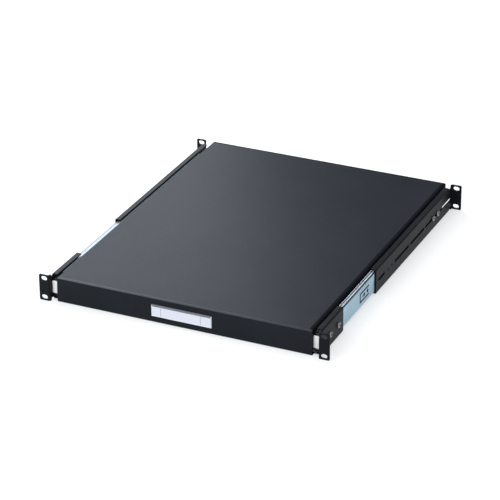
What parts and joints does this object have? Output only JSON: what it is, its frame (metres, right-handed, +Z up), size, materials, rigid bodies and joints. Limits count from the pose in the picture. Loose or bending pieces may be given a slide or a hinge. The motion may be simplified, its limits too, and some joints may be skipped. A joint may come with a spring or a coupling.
{
  "type": "sliding rack shelf",
  "caption": "Low sliding shelf for a 19-inch rack: a folded steel tray on ball slides, held by front and rear brackets with slotted ears, with a label holder on its front.",
  "frame": {"origin": "centre of the front hole pattern, on the front faces of the front ears", "axes": "+X to the right seen from the front, +Y to the rear of the rack, +Z up"},
  "size_m": [0.4826, 0.5655, 0.0436],
  "materials": {
    "tray_paint": "satin powder coat",
    "bracket_paint": "satin powder coat",
    "zinc_plate": "bright zinc plate",
    "cage_steel": "plain rolled strip",
    "ball_steel": "polished",
    "fastener_steel": "bright nickel plate",
    "nylon": "moulded",
    "clear_plastic": "gloss",
    "card": "plain"
  },
  "bodies": {
    "frame": {"front_bracket_left": "bracket_paint", "front_bracket_right": "bracket_paint", "rear_bracket_left": "bracket_paint", "rear_bracket_right": "bracket_paint", "slide_outer_left": "zinc_plate", "slide_outer_right": "zinc_plate", "bracket_screws": "fastener_steel"},
    "tray": {"tray_pan": "tray_paint", "label_holder": "clear_plastic", "label_card": "card", "slide_inner_left": "zinc_plate", "slide_inner_right": "zinc_plate", "closing_bumper_left": "nylon", "closing_bumper_right": "nylon", "tray_screws": "fastener_steel", "tray_nuts": "fastener_steel"},
    "middle_slide_left": {"slide_middle_left": "zinc_plate"},
    "outer_cage_left": {"outer_ball_cage_left": "cage_steel", "outer_balls_left": "ball_steel"},
    "inner_cage_left": {"inner_ball_cage_left": "cage_steel", "inner_balls_left": "ball_steel"},
    "middle_slide_right": {"slide_middle_right": "zinc_plate"},
    "outer_cage_right": {"outer_ball_cage_right": "cage_steel", "outer_balls_right": "ball_steel"},
    "inner_cage_right": {"inner_ball_cage_right": "cage_steel", "inner_balls_right": "ball_steel"}
  },
  "joints": [
    {"name": "tray_slide", "type": "slide", "parent": "frame", "child": "tray", "axis": [0, -1, 0], "range_m": [0, 0.498]},
    {"name": "middle_slide_run_left", "type": "slide", "parent": "frame", "child": "middle_slide_left", "axis": [0, -1, 0], "range_m": [0, 0.249]},
    {"name": "middle_slide_run_right", "type": "slide", "parent": "frame", "child": "middle_slide_right", "axis": [0, -1, 0], "range_m": [0, 0.249]},
    {"name": "outer_cage_run_left", "type": "slide", "parent": "frame", "child": "outer_cage_left", "axis": [0, -1, 0], "range_m": [0, 0.1245]},
    {"name": "outer_cage_run_right", "type": "slide", "parent": "frame", "child": "outer_cage_right", "axis": [0, -1, 0], "range_m": [0, 0.1245]},
    {"name": "inner_cage_run_left", "type": "slide", "parent": "frame", "child": "inner_cage_left", "axis": [0, -1, 0], "range_m": [0, 0.3735]},
    {"name": "inner_cage_run_right", "type": "slide", "parent": "frame", "child": "inner_cage_right", "axis": [0, -1, 0], "range_m": [0, 0.3735]}
  ],
  "couplings": [
    {"joint": "middle_slide_run_left", "follows": "tray_slide", "ratio": 0.5},
    {"joint": "middle_slide_run_right", "follows": "tray_slide", "ratio": 0.5},
    {"joint": "outer_cage_run_left", "follows": "tray_slide", "ratio": 0.25},
    {"joint": "outer_cage_run_right", "follows": "tray_slide", "ratio": 0.25},
    {"joint": "inner_cage_run_left", "follows": "tray_slide", "ratio": 0.75},
    {"joint": "inner_cage_run_right", "follows": "tray_slide", "ratio": 0.75}
  ]
}
